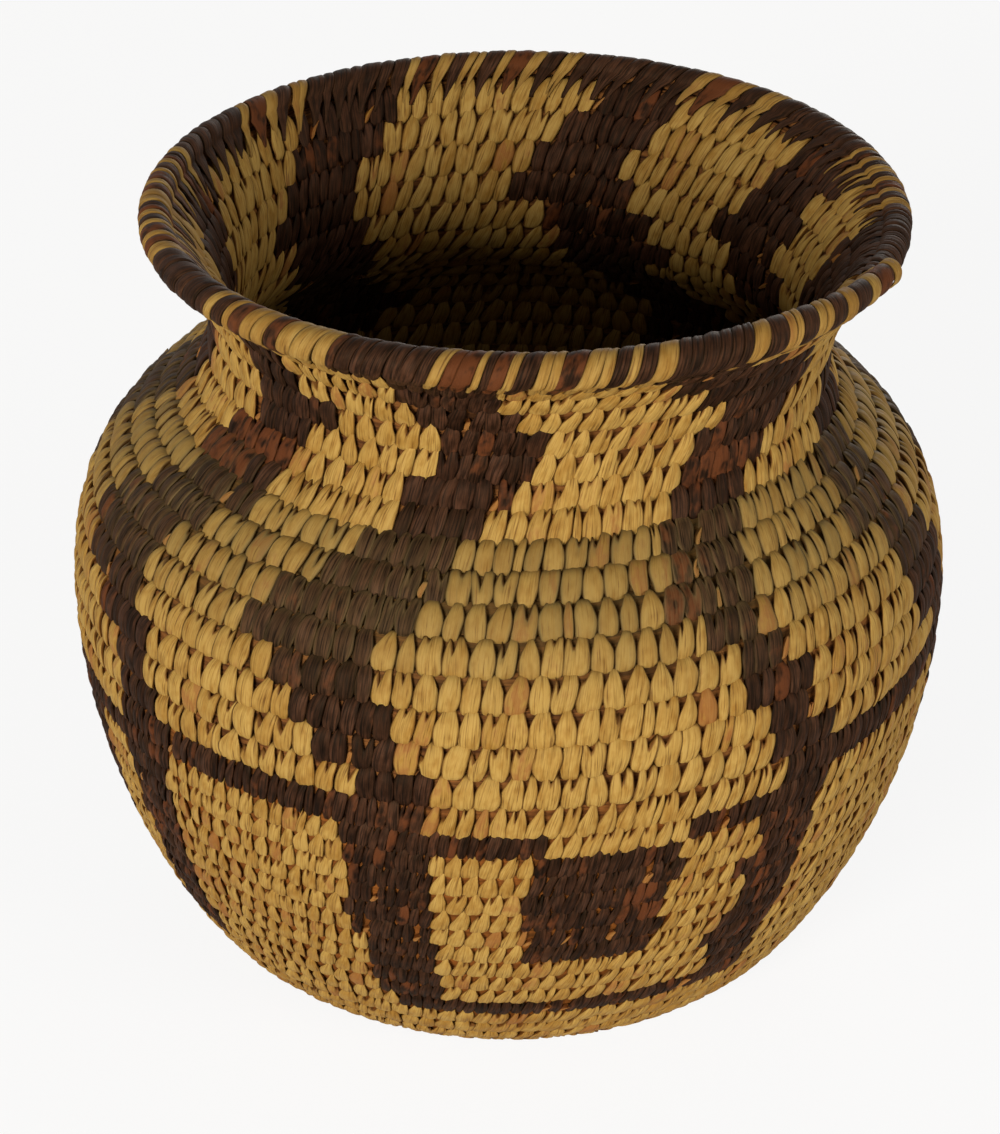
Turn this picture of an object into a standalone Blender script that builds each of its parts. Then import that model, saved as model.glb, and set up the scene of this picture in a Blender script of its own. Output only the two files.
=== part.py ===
"""A small coiled basketry olla.

One bundle of grass starts in a knot at the middle of the base. It winds out as a spiral to the foot, climbs the
wall, turns in at the neck and out again at the mouth, where it thickens into the rim coil and tapers to a tail.
Each full turn of the bundle is one object. Sizes are in metres, +Z is up, and the origin is the middle of the
underside.
"""

import math

import bpy

# Overall form, measured on the outside of the coils
BASE_DIAMETER = 0.132
BELLY_DIAMETER = 0.197
BELLY_HEIGHT = 0.088
NECK_DIAMETER = 0.137
NECK_HEIGHT = 0.1455
MOUTH_DIAMETER = 0.1555
WALL_HEIGHT = 0.172
FLARE_ANGLE = math.radians(46)

# The mouth of this handmade jar sits to the right of its body, with its right side the higher one
MOUTH_SHIFT = 0.0046
MOUTH_TILT = math.radians(0.75)

# How far each curve of the wall keeps its direction, as a share of that curve's height or reach
FOOT_FULLNESS = 0.13
LOWER_FULLNESS = 0.58
SHOULDER_FULLNESS = 0.67
NECK_FULLNESS = 0.37
THROAT_FULLNESS = 0.33

# The bundle, and its courses as they are counted: the lower ones are fine, the body's are the widest
WALL_THICKNESS = 0.0056
KNOT_RADIUS = 0.0042
KNOT_CHAMFER = 0.0012
BASE_COURSES = 11
LOWER_COURSES = 15
BODY_COURSES = 7
NECK_COURSES = 8
BODY_FROM_HEIGHT = 0.0777
NECK_FROM_HEIGHT = 0.1237

# The rim coil thickens from the last course all the way round and ends in a tail
RIM_COIL_DIAMETER = 0.0080
TAIL_LENGTH = 0.045
TAIL_DIAMETER = 0.0055

# The line up the wall where each turn starts, as an angle from +X; the front faces -Y
START_ANGLE = math.radians(-27)

# The gap between neighbouring turns
CLEARANCE = 0.0005

# Facets
STEPS_PER_TURN = 28
CURVE_STEPS = 40
RIM_SIDES = 8
SHARP_EDGE = math.radians(50)

# A turn in section: (share of the course's height, share of half the thickness, outside being positive)
COURSE_SECTION = ((-0.5, 0), (-0.3, 1), (0.3, 1), (0.5, 0), (0.3, -1), (-0.3, -1))


def bezier(start, leaving, arriving, end):
    """Points along a cubic curve, without its first."""
    points = []
    for step in range(1, CURVE_STEPS + 1):
        u = step / CURVE_STEPS
        weights = ((1 - u) ** 3, 3 * (1 - u) ** 2 * u, 3 * (1 - u) * u**2, u**3)
        corners = (start, leaving, arriving, end)
        points.append(tuple(sum(w * c[axis] for w, c in zip(weights, corners)) for axis in (0, 1)))
    return points


def middle_line():
    """The middle of the wall as (radius, height) points: flat base, belly, neck and flare."""
    half = WALL_THICKNESS / 2
    foot = (BASE_DIAMETER / 2, half)
    belly = (BELLY_DIAMETER / 2 - half, BELLY_HEIGHT)
    neck = (NECK_DIAMETER / 2 - half, NECK_HEIGHT)
    flare = (math.sin(FLARE_ANGLE), math.cos(FLARE_ANGLE))
    mouth = (MOUTH_DIAMETER / 2 - half * flare[1], WALL_HEIGHT - half * flare[0])
    throat = math.dist(neck, mouth) * THROAT_FULLNESS

    lower = belly[1] - foot[1]
    upper = neck[1] - belly[1]
    line = [(0.0, half), foot]
    line += bezier(
        foot,
        (foot[0] + FOOT_FULLNESS * (belly[0] - foot[0]), foot[1]),
        (belly[0], belly[1] - LOWER_FULLNESS * lower),
        belly,
    )
    line += bezier(
        belly,
        (belly[0], belly[1] + SHOULDER_FULLNESS * upper),
        (neck[0], neck[1] - NECK_FULLNESS * upper),
        neck,
    )
    line += bezier(
        neck,
        (neck[0], neck[1] + throat),
        (mouth[0] - throat * flare[0], mouth[1] - throat * flare[1]),
        mouth,
    )
    rim_room = 3 * RIM_COIL_DIAMETER
    line.append((mouth[0] + rim_room * flare[0], mouth[1] + rim_room * flare[1]))
    return line


class Meridian:
    """The middle line of the wall, read by the distance along it from the axis."""

    def __init__(self):
        self.points = middle_line()
        self.reach = [0.0]
        for a, b in zip(self.points, self.points[1:]):
            self.reach.append(self.reach[-1] + math.dist(a, b))
        self.foot = self.reach[1]
        self.mouth = self.reach[-2]

    def segment(self, distance):
        index = 0
        while index < len(self.points) - 2 and self.reach[index + 1] < distance:
            index += 1
        return index

    def at(self, distance, outward=0.0):
        """(radius, height) at this distance, moved outward from the wall's middle."""
        index = self.segment(distance)
        (r0, z0), (r1, z1) = self.points[index], self.points[index + 1]
        length = self.reach[index + 1] - self.reach[index]
        share = (distance - self.reach[index]) / length
        along = ((r1 - r0) / length, (z1 - z0) / length)
        return (
            r0 + share * (r1 - r0) + outward * along[1],
            z0 + share * (z1 - z0) - outward * along[0],
        )

    def direction(self, distance):
        low, high = self.at(distance - CLEARANCE), self.at(distance + CLEARANCE)
        length = math.dist(low, high)
        return ((high[0] - low[0]) / length, (high[1] - low[1]) / length)

    def distance_at_height(self, height):
        """How far along the wall it reaches this height."""
        index = 1
        while self.points[index + 1][1] < height:
            index += 1
        (_, z0), (_, z1) = self.points[index], self.points[index + 1]
        share = (height - z0) / (z1 - z0)
        return self.reach[index] + share * (self.reach[index + 1] - self.reach[index])


def courses_between(start, end, count):
    """Upper edges of the courses that share this stretch equally."""
    return [start + (end - start) * (i + 1) / count for i in range(count)]


MERIDIAN = Meridian()
BASE_EDGES = courses_between(KNOT_RADIUS, MERIDIAN.foot, BASE_COURSES)
BODY_FROM = MERIDIAN.distance_at_height(BODY_FROM_HEIGHT)
NECK_FROM = MERIDIAN.distance_at_height(NECK_FROM_HEIGHT)
WALL_EDGES = (
    courses_between(MERIDIAN.foot, BODY_FROM, LOWER_COURSES)
    + courses_between(BODY_FROM, NECK_FROM, BODY_COURSES)
    + courses_between(NECK_FROM, MERIDIAN.mouth, NECK_COURSES)
)
EDGES = [KNOT_RADIUS] + BASE_EDGES + WALL_EDGES


def edge(turns):
    """Distance along the meridian to the lower edge of the coil after this many turns."""
    whole = min(int(turns), len(EDGES) - 2)
    step = EDGES[whole + 1] - EDGES[whole]
    return EDGES[whole] + (turns - whole) * step


def course_section(turns):
    """Corners of the bundle, as (radius, height), after this many turns."""
    low, high = edge(turns), edge(turns + 1)
    middle, height = (low + high) / 2, high - low - CLEARANCE
    half = WALL_THICKNESS / 2
    return [MERIDIAN.at(middle + a * height, b * half) for a, b in COURSE_SECTION]


def smooth(share):
    share = min(max(share, 0.0), 1.0)
    return share * share * (3 - 2 * share)


def place(radius, angle, height):
    """A point of the round form where this lopsided jar has it: from the neck up it moves with the mouth."""
    x, y = radius * math.cos(angle), radius * math.sin(angle)
    share = smooth((height - NECK_FROM_HEIGHT) / (WALL_HEIGHT - NECK_FROM_HEIGHT))
    return (x + share * MOUTH_SHIFT, y, height + share * math.tan(MOUTH_TILT) * x)


def rim_size(turns_of_rim, tail_turns):
    """(height, thickness) of the rim coil, from the last course's size to its full round and into the tail."""
    last_course = EDGES[-1] - EDGES[-2] - CLEARANCE
    grown = smooth(turns_of_rim)
    height = last_course + grown * (RIM_COIL_DIAMETER - last_course)
    thickness = WALL_THICKNESS + grown * (RIM_COIL_DIAMETER - WALL_THICKNESS)
    tail = smooth((turns_of_rim - (1 - tail_turns)) / tail_turns)
    return (
        height + tail * (TAIL_DIAMETER - height),
        thickness + tail * (TAIL_DIAMETER - thickness),
    )


def rim_section(turns):
    """Corners of the rim coil, which sits on the course below it."""
    first = len(EDGES) - 1
    tail_turns = TAIL_LENGTH / (math.pi * MOUTH_DIAMETER)
    height, thickness = rim_size(turns - first, tail_turns)
    middle = edge(turns) + CLEARANCE / 2 + height / 2
    radius, level = MERIDIAN.at(middle)
    along = MERIDIAN.direction(middle)
    corners = []
    for side in range(RIM_SIDES):
        angle = -math.pi / 2 + math.tau * side / RIM_SIDES
        up, out = height / 2 * math.sin(angle), thickness / 2 * math.cos(angle)
        corners.append((radius + up * along[0] + out * along[1], level + up * along[1] - out * along[0]))
    return corners


def mesh_object(name, vertices, faces, colour, roughness):
    """An object with a smooth-shaded mesh and a material of its own."""
    mesh = bpy.data.meshes.new(name)
    mesh.from_pydata(vertices, [], faces)
    mesh.validate()
    mesh.shade_smooth()
    mesh.set_sharp_from_angle(angle=SHARP_EDGE)
    material = bpy.data.materials.new(name + "_fibre")
    material.use_nodes = True
    shader = material.node_tree.nodes["Principled BSDF"]
    shader.inputs["Base Color"].default_value = (*colour, 1)
    shader.inputs["Roughness"].default_value = roughness
    shader.inputs["Metallic"].default_value = 0.0
    material.diffuse_color = (*colour, 1)
    mesh.materials.append(material)
    placed = bpy.data.objects.new(name, mesh)
    bpy.context.scene.collection.objects.link(placed)
    return placed


def turn_of_coil(name, first, section, colour, roughness):
    """One full turn of the spiral, from the start line round to it again."""
    gap_angle = CLEARANCE / 2 / MERIDIAN.at(edge(first))[0]
    rings = []
    for step in range(STEPS_PER_TURN + 1):
        share = step / STEPS_PER_TURN
        share = min(max(share, gap_angle / math.tau), 1 - gap_angle / math.tau)
        angle = START_ANGLE + math.tau * share
        rings.append([place(r, angle, z) for r, z in section(first + share)])
    sides = len(rings[0])
    vertices = [corner for ring in rings for corner in ring]
    faces = [tuple(range(sides)), tuple(reversed(range(len(vertices) - sides, len(vertices))))]
    for step in range(STEPS_PER_TURN):
        for side in range(sides):
            a, b = step * sides + side, step * sides + (side + 1) % sides
            faces.append((a, a + sides, b + sides, b))
    return mesh_object(name, vertices, faces, colour, roughness)


def start_knot(colour, roughness):
    """The knot that the coil starts from, a disc whose edge follows the first turn."""
    half = WALL_THICKNESS / 2
    gap_angle = CLEARANCE / 2 / KNOT_RADIUS
    levels = ((KNOT_CHAMFER, 0.0), (0.0, half), (KNOT_CHAMFER, WALL_THICKNESS))
    vertices = [(0, 0, 0), (0, 0, WALL_THICKNESS)]
    for inset, height in levels:
        for step in range(STEPS_PER_TURN + 1):
            share = min(step / STEPS_PER_TURN, 1 - 2 * gap_angle / math.tau)
            angle = START_ANGLE - gap_angle + math.tau * share
            radius = edge(share) - CLEARANCE / 2 - inset
            vertices.append((radius * math.cos(angle), radius * math.sin(angle), height))
    ring = STEPS_PER_TURN + 1
    faces = []
    for step in range(ring):
        a, b = step, (step + 1) % ring
        faces.append((0, 2 + b, 2 + a))
        faces.append((1, 2 + 2 * ring + a, 2 + 2 * ring + b))
        for level in (0, 1):
            low, high = 2 + level * ring, 2 + (level + 1) * ring
            faces.append((low + a, low + b, high + b, high + a))
    return mesh_object("start_knot", vertices, faces, colour, roughness)


def least_gap(first, section, next_section):
    """Least distance between the points of a turn and those of the turn that lies on it."""
    gaps = []
    for step in range(STEPS_PER_TURN + 1):
        share = step / STEPS_PER_TURN
        angle = START_ANGLE + math.tau * share
        below = [place(r, angle, z) for r, z in section(first + share)]
        above = [place(r, angle, z) for r, z in next_section(first + share + 1)]
        gaps += [math.dist(a, b) for a in below for b in above]
    return min(gaps)


def clear_scene():
    for old in list(bpy.data.objects):
        bpy.data.objects.remove(old, do_unlink=True)


def build():
    clear_scene()
    yucca = (0.60, 0.43, 0.20)
    dusty_yucca = (0.52, 0.40, 0.22)
    devils_claw = (0.075, 0.045, 0.035)
    start_knot(dusty_yucca, 0.75)
    for turn in range(BASE_COURSES):
        turn_of_coil(f"base_course_{turn + 1:02d}", turn, course_section, dusty_yucca, 0.75)
    for turn in range(len(WALL_EDGES)):
        turn_of_coil(f"wall_course_{turn + 1:02d}", BASE_COURSES + turn, course_section, yucca, 0.65)
    rim_turn = len(EDGES) - 1
    turn_of_coil("rim_coil", rim_turn, rim_section, devils_claw, 0.55)

    gaps = [least_gap(turn, course_section, course_section) for turn in range(rim_turn - 1)]
    gaps.append(least_gap(rim_turn - 1, course_section, rim_section))
    print("courses in the base:", BASE_COURSES, "in the wall:", len(WALL_EDGES))
    print("length along the wall in mm:", round(1000 * (MERIDIAN.mouth - MERIDIAN.foot), 1))
    print("least gap between neighbouring turns in mm:", round(1000 * min(gaps), 3))


build()
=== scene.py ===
# %% [markdown]
# A coiled basketry olla, sewn in pale yucca leaf and dark devil's claw over a bundle of grass.
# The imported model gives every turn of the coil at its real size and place. It is loaded first and
# never changed. This lesson then sews the real surface onto it, one stitch at a time.

# %% Load the frame
import math

import bpy
import numpy as np
from mathutils import Matrix, Vector


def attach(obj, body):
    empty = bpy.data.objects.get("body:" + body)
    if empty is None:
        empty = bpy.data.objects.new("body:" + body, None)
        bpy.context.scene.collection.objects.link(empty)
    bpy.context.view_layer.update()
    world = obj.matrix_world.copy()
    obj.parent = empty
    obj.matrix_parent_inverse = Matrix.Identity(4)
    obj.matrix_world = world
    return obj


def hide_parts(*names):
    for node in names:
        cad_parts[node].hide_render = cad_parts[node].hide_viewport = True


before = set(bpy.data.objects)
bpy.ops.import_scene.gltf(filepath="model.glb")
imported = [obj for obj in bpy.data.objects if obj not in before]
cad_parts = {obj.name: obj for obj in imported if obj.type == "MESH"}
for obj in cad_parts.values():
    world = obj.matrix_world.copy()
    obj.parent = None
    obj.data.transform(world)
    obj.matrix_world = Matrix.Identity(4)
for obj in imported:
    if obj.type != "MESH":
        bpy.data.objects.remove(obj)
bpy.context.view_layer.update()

print("turns of the coil in the frame:", len(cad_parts))

# %% [markdown]
# The coil is one spiral, so a place on it is a single number: the turns sewn since the start knot.
# Each turn of the frame has a ring of points at equal steps round the axis. The middle of each ring
# is a point of the bundle's centre line, so the frame itself tells where the coil runs. Reading it
# beats writing its shape down again, because the stitches then fit the frame whatever its sizes are.

# %% Read the centre line of the coil from the frame
BASE_NODES = sorted(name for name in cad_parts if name.startswith("base_course"))
WALL_NODES = sorted(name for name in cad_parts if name.startswith("wall_course"))
TURN_NODES = BASE_NODES + WALL_NODES + ["rim_coil"]
FOOT_TURN = len(BASE_NODES)
RIM_TURN = len(TURN_NODES) - 1
LAST_TURN = len(TURN_NODES)
STEPS_PER_TURN = 28
START_PHI = 63.0
MM = 0.001


def ring_points(name):
    """The middle of each ring of one turn, in millimetres."""
    points = np.array([v.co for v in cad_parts[name].data.vertices]) / MM
    start = math.radians(START_PHI - 90)
    steps = (np.arctan2(points[:, 1], points[:, 0]) - start) % math.tau / math.tau * STEPS_PER_TURN
    nearest = np.rint(steps).astype(int)
    return [points[nearest == step].mean(axis=0) for step in range(1, STEPS_PER_TURN)]


def centre_line():
    """The ring middles of every turn in order. Where two turns meet, their neighbours give the point."""
    line = np.zeros((LAST_TURN * STEPS_PER_TURN + 1, 3))
    for turn, name in enumerate(TURN_NODES):
        first = turn * STEPS_PER_TURN
        line[first + 1:first + STEPS_PER_TURN] = ring_points(name)
    for turn in range(1, LAST_TURN):
        i = turn * STEPS_PER_TURN
        line[i] = (4 * (line[i - 1] + line[i + 1]) - line[i - 2] - line[i + 2]) / 6
    line[0] = 3 * line[1] - 3 * line[2] + line[3]
    line[-1] = 3 * line[-2] - 3 * line[-3] + line[-4]
    return line


LINE = centre_line()
print("centre line points:", len(LINE), "widest turn radius mm:", round(np.abs(LINE[:, 0]).max(), 1))

# %% [markdown]
# A place on the coil isn't enough to sew with: a stitch also needs to know which way the coil runs,
# which way is up the wall and which is out, and how high the course is. These helpers answer for a
# whole array of places at once, and that is what lets thousands of stitches be made in seconds.

# %% Places and directions on the coil
NUDGE = 0.1 / STEPS_PER_TURN


def coil_at(turns):
    """Points of the centre line, by a smooth curve through the rings."""
    steps = np.clip(np.asarray(turns, float) * STEPS_PER_TURN, 0, len(LINE) - 1.000001)
    whole = np.floor(steps).astype(int)
    t = (steps - whole)[..., None]
    a, b, c, d = (LINE[np.clip(whole + shift, 0, len(LINE) - 1)] for shift in (-1, 0, 1, 2))
    return b + 0.5 * t * (c - a + t * (2 * a - 5 * b + 4 * c - d + t * (3 * (b - c) + d - a)))


def unit(vectors):
    """The same directions, each one unit long."""
    return vectors / np.linalg.norm(vectors, axis=-1, keepdims=True)


def coil_frame(turns):
    """Centre, direction along the coil, direction up the wall, outward direction and course height."""
    turns = np.asarray(turns, float)
    along = unit(coil_at(turns + NUDGE) - coil_at(turns - NUDGE))
    above = np.where(turns + 1 > LAST_TURN, turns, turns + 1)
    below = np.where(turns - 1 < 0, turns, turns - 1)
    rise = coil_at(above) - coil_at(below)
    rise -= (rise * along).sum(-1, keepdims=True) * along
    height = np.linalg.norm(rise, axis=-1) / (above - below)
    up = unit(rise)
    return coil_at(turns), along, up, np.cross(along, up), height


def smooth(share):
    """A soft step from 0 to 1."""
    share = np.clip(share, 0, 1)
    return share * share * (3 - 2 * share)


def girth_at(turns):
    """Millimetres once round the axis at the centre line."""
    centre = coil_at(turns)
    return math.tau * np.hypot(centre[:, 0], centre[:, 1])


def phi_of(turns):
    """Degrees round the jar from the front, anticlockwise seen from above."""
    return (START_PHI + 360 * (np.asarray(turns) % 1)) % 360


print("girth of the foot and the rim in mm:", girth_at(np.array([FOOT_TURN, RIM_TURN])).round(1))

# %% [markdown]
# The pattern is a weaver's chart. Eight zigzag bands rise from the foot to the rim, and thin lines
# and blocks sit in the panels between them. A band is written as the angle of its foot and its two
# edges, in degrees from the front, on the courses where it steps sideways. Below the zigzag it goes
# straight down. Four bands are read from the photo all the way up. The other four, at the left edge
# and behind, are read where the neck shows them and follow the common zigzag below that.

# %% The chart of the pattern
ZIGZAG = {
    30: (-5, 10), 29: (-5, 11), 28: (-4, 13), 27: (0, 20), 26: (-2, 16), 25: (-5, 14), 24: (-8, 11),
    23: (-10, 8), 22: (-13, 4), 21: (-18, 1), 20: (-22, -2), 19: (-17, -1), 18: (-12, 0),
    17: (-9, 2), 16: (-5.5, 5.5), 15: (-5, 5), 4: (-5, 5),
}
BANDS = {
    "A": (-54.5, {
        30: (-57, -44), 29: (-57, -45), 28: (-54.5, -42.5), 27: (-52.5, -36), 26: (-57, -39),
        25: (-60, -41.5), 24: (-63, -43.5), 23: (-64, -45.5), 22: (-68.5, -51), 21: (-72.5, -54.5),
        20: (-77, -57.5), 19: (-73.5, -57), 18: (-65.5, -54), 17: (-61, -52.5), 16: (-59, -49.5),
        15: (-59, -49), 9: (-60, -50.5), 4: (-59.5, -50.5),
    }),
    "B": (-15, {
        30: (-22.5, -6), 29: (-21.5, -6.5), 28: (-20.5, -3), 27: (-15.5, 4.5), 26: (-16.7, 2),
        25: (-20, 0.5), 24: (-21.7, -4), 23: (-25, -7.7), 22: (-28.3, -10.8), 21: (-33.5, -14),
        20: (-36.5, -17), 19: (-31.5, -16.3), 18: (-27.7, -15), 17: (-24, -13.5), 16: (-20.3, -9.2),
        15: (-20.3, -9.4), 11: (-21.2, -9), 8: (-20.4, -9.6), 6: (-20, -9.6), 5: (-19.2, -9.6),
        4: (-17, -9.6),
    }),
    "C": (37, {
        30: (20, 35), 29: (23, 43), 28: (29, 53.5), 27: (36, 58.5), 26: (31.5, 52.5),
        25: (29.4, 48.7), 24: (27.8, 42.8), 23: (24.3, 39), 22: (23.7, 38), 21: (21.7, 35),
        20: (26.2, 35), 19: (28.8, 38.8), 18: (31.7, 41.2), 17: (33, 41.3), 16: (35.4, 44.2),
        15: (36.2, 44.7), 13: (34.2, 43.8), 12: (34.2, 43.6), 11: (32, 43), 9: (32.5, 42),
        8: (30.8, 41.7), 7: (29.3, 41.2), 6: (30.4, 40.4), 5: (30.8, 39.6), 4: (30.8, 38.7),
    }),
    "D": (80, {
        30: (72, 91), 29: (75, 95), 28: (77, 97), 27: (78, 100), 26: (72, 95), 25: (65.5, 84),
        24: (61, 75), 23: (60, 73), 22: (57, 74), 21: (63, 73), 20: (64, 77), 19: (66, 80),
        18: (68, 81), 17: (72, 84), 16: (75, 85), 4: (75, 85),
    }),
    "E": (116, {30: (107, 124.5), 29: (112, 128), 28: (113, 131), 27: (115, 135.5), 26: (110, 130),
                25: (108, 130)}),
    "F": (160, {30: (152.5, 169), 29: (155, 174), 28: (159.5, 179), 27: (157, 182), 26: (150, 175),
                25: (148, 170)}),
    "G": (219, {30: (206, 226), 29: (211, 231), 28: (216, 235), 27: (217.5, 240), 26: (215, 235),
                25: (211, 231), 24: (207, 226)}),
    "H": (264, {30: (255, 270), 29: (260, 276), 28: (263, 280), 27: (264, 284), 26: (261, 280),
                25: (257, 276)}),
}
for name in "EFGH":
    foot, rows = BANDS[name]
    common = {course: (foot + left, foot + right) for course, (left, right) in ZIGZAG.items()}
    BANDS[name] = (foot, {**common, **rows})
LEG_COURSE = 4
FRAMED_PANELS = (("B", "C"), ("D", "E"), ("F", "G"), ("H", "A"))
OPEN_PANELS = (("A", "B"), ("C", "D"), ("E", "F"), ("G", "H"))
FRAMED_LINES = (4, 14)
OPEN_LINE = 15
BLOCK_COURSES = range(8, 14)
BLOCK_SHARE = (0.29, 0.74)
BROKEN_PANEL = ("B", "C")
LINE_BREAK_SHARE = (0.33, 0.72)
print("bands in the chart:", len(BANDS), "panels:", len(FRAMED_PANELS + OPEN_PANELS))

# %% [markdown]
# Between two rows of a band's chart its edges run straight. A spiral has no level rows: at the line
# where a turn starts, each course steps up by one. So the course is counted at the middle of the
# band or panel itself, and a band that crosses that line stays whole.

# %% Read the chart
BELLY_TURN = 30


def turned(angle):
    """An angle brought to between -180 and 180 degrees."""
    return (angle + 180) % 360 - 180


def band_edges(name, course):
    """Left and right edge of a band on one course, from the nearest rows of its chart."""
    rows = BANDS[name][1]
    if course in rows:
        return rows[course]
    known = sorted(rows)
    return tuple(np.interp(course, known, [rows[row][side] for row in known]) for side in (0, 1))


def course_near(turns, middle):
    """The wall course that a stitch belongs to, counted at a band's or panel's own middle."""
    shifted = turns + turned(middle - phi_of(turns)) / 360
    return int(math.floor(shifted + 1e-9)) - FOOT_TURN + 1


def in_band(name, turns, phi):
    """Whether a place on the coil lies in a band."""
    course = course_near(turns, BANDS[name][0])
    if course < LEG_COURSE:
        return False
    left, right = band_edges(name, course)
    return abs(turned(phi - (left + right) / 2)) < (right - left) / 2


def panel_place(panel, turns, phi):
    """The course in a panel and the share of its width from the left. Over 1 is outside it."""
    left, right = (BANDS[name][0] for name in panel)
    course = course_near(turns, left + (right - left) % 360 / 2)
    left, right = band_edges(panel[0], course)[1], band_edges(panel[1], course)[0]
    return course, (phi - left) % 360 / ((right - left) % 360)


def is_dark(turns):
    """Whether the chart has a dark stitch at this place on the coil."""
    if turns < FOOT_TURN:
        return False
    phi = float(phi_of(turns))
    if any(in_band(name, turns, phi) for name in BANDS):
        return True
    for panel in FRAMED_PANELS + OPEN_PANELS:
        course, share = panel_place(panel, turns, phi)
        if share > 1:
            continue
        if panel in OPEN_PANELS:
            return course == OPEN_LINE
        if course == FRAMED_LINES[1]:
            return not (panel == BROKEN_PANEL and LINE_BREAK_SHARE[0] < share < LINE_BREAK_SHARE[1])
        in_block = course in BLOCK_COURSES and BLOCK_SHARE[0] < share < BLOCK_SHARE[1]
        return course == FRAMED_LINES[0] or in_block
    return False


belly_marks = [is_dark(BELLY_TURN + degree / 360) for degree in range(360)]
print("dark share of the belly course:", round(np.mean(belly_marks), 2))

# %% [markdown]
# A weaver lays one stitch after another along the coil. The walk below does the same: at each
# place it asks the chart for the strip's colour, takes that strip's width and moves on by it. Coarse
# yucca stitches are 3.8 mm apart on the lower wall and 4.9 mm on the body. The devil's claw is split
# finer and packed tighter. Here and there a strip splits into a sliver, and between dark strips such
# a sliver shows the orange core of the pod's skin.

# %% Walk along the coil and lay out the stitches
RANDOM = np.random.default_rng(7)
STRIP_MM = {  # stitch spacing: (pale, dark)
    "base": (4.0, 3.0), "foot": (3.9, 2.4), "lower": (3.8, 2.3), "body": (4.9, 3.7), "neck": (4.4, 3.5),
}
ZONE_END = {"base": 0, "foot": 3, "lower": 15, "body": 22.5, "neck": math.inf}  # courses up the wall
WIDTH_SPREAD = (0.15, 0.24)  # of pale strips and of dark ones
FACE_OUT_MM = 2.4  # the face of the wall, outside the centre line
LOOK_AHEAD_MM = 1.8  # the chart is read here, near the middle of the strip to come
SLIVER_CHANCE = 0.035
MORE_DARK_SLIVERS = 1.4
CORE_SLIVER_MM = 1.4
FIRST_STITCH = 0.12
LAST_STITCH = RIM_TURN - 0.006


def zone_of(turns):
    """The zone of the wall that a place on the coil lies in."""
    return next(zone for zone, end in ZONE_END.items() if turns - FOOT_TURN < end)


def walk(first, last):
    """Rows of (turns, width in mm, dark) for every stitch between two places on the coil."""
    rows = []
    turns = first
    while turns < last:
        centre = coil_at(turns)
        girth = math.tau * (math.hypot(centre[0], centre[1]) + FACE_OUT_MM)
        dark = int(is_dark(turns + LOOK_AHEAD_MM / girth))
        width = STRIP_MM[zone_of(turns)][dark] * (1 + WIDTH_SPREAD[dark] * RANDOM.uniform(-1, 1))
        if RANDOM.uniform() < SLIVER_CHANCE * (MORE_DARK_SLIVERS if dark else 1):
            dark, width = 0, (CORE_SLIVER_MM if dark else width * 0.5)
        rows.append((turns + width / girth / 2, width, dark))
        turns += width / girth
    return np.array(rows)


STITCHES = walk(FIRST_STITCH, LAST_STITCH)
print("stitches on base and wall:", len(STITCHES), "dark:", int(STITCHES[:, 2].sum()))

# %% [markdown]
# Colours are written as sRGB hex values, as a colour picker gives them, and one function turns them
# into the linear values that shaders count in. One more helper adds a node with its settings and
# links, so that each material below reads as a short list.

# %% Colour and node helpers
MIX_COLOURS = {"data_type": "RGBA", "blend_type": "MIX"}
TINT_COLOURS = {"data_type": "RGBA", "blend_type": "MULTIPLY"}
SHARE, FIRST, SECOND, MIXED = 0, 6, 7, 2  # the inputs and the output of a mix of colours


def linear(code):
    """The linear red, green and blue of a hex code, and an alpha of 1."""
    parts = [int(code[i:i + 2], 16) / 255 for i in (1, 3, 5)]
    return (*[p / 12.92 if p <= 0.04045 else ((p + 0.055) / 1.055) ** 2.4 for p in parts], 1)


def add(tree, kind, inputs=None, stops=(), **settings):
    """Adds a node. An input takes a socket, a number or a hex colour. Stops fill a colour ramp."""
    node = tree.nodes.new("ShaderNode" + kind)
    for name, value in settings.items():
        setattr(node, name, value)
    for name, value in (inputs or {}).items():
        if isinstance(value, bpy.types.NodeSocket):
            tree.links.new(value, node.inputs[name])
        else:
            node.inputs[name].default_value = linear(value) if isinstance(value, str) else value
    for index, (place, code) in enumerate(stops):
        stop = node.color_ramp.elements[index] if index < 2 else node.color_ramp.elements.new(place)
        stop.position, stop.color = place, linear(code)
    return node


def emptied(owner):
    """A new material or world, ready for nodes of its own."""
    owner.use_nodes = True
    owner.node_tree.nodes.clear()
    return owner


print("half of the light is the grey of #bcbcbc:", round(linear("#bcbcbc")[0], 2))

# %% [markdown]
# Every stitch carries its own data. "lay" holds millimetres across and along the strip plus the
# stitch's own number, so that fibres run with each strip and no two strips match. "tone" holds how
# light it is, how stained, how dusty and how near its edge. The strips of yucca are split leaf: dry,
# satin, straw yellow, with straight fibres about 0.3 mm apart and rusty stains from the leaf's skin.
# Dust settles at the edges and in the furrows between fibres. The edges and the tucked ends are darkened
# with painted shade, standing in for the shade of the seams.

# %% Yucca leaf
FIBRE_MM = 0.31
FIBRE_STRETCH = 0.05
FIBRE_DEPTH_MM = 0.12
FLECK_MM = 1.7
FLECK_STRETCH = 0.5
DUST_AT_EDGE = 1.15
LEAF_IOR = 1.45


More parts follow.
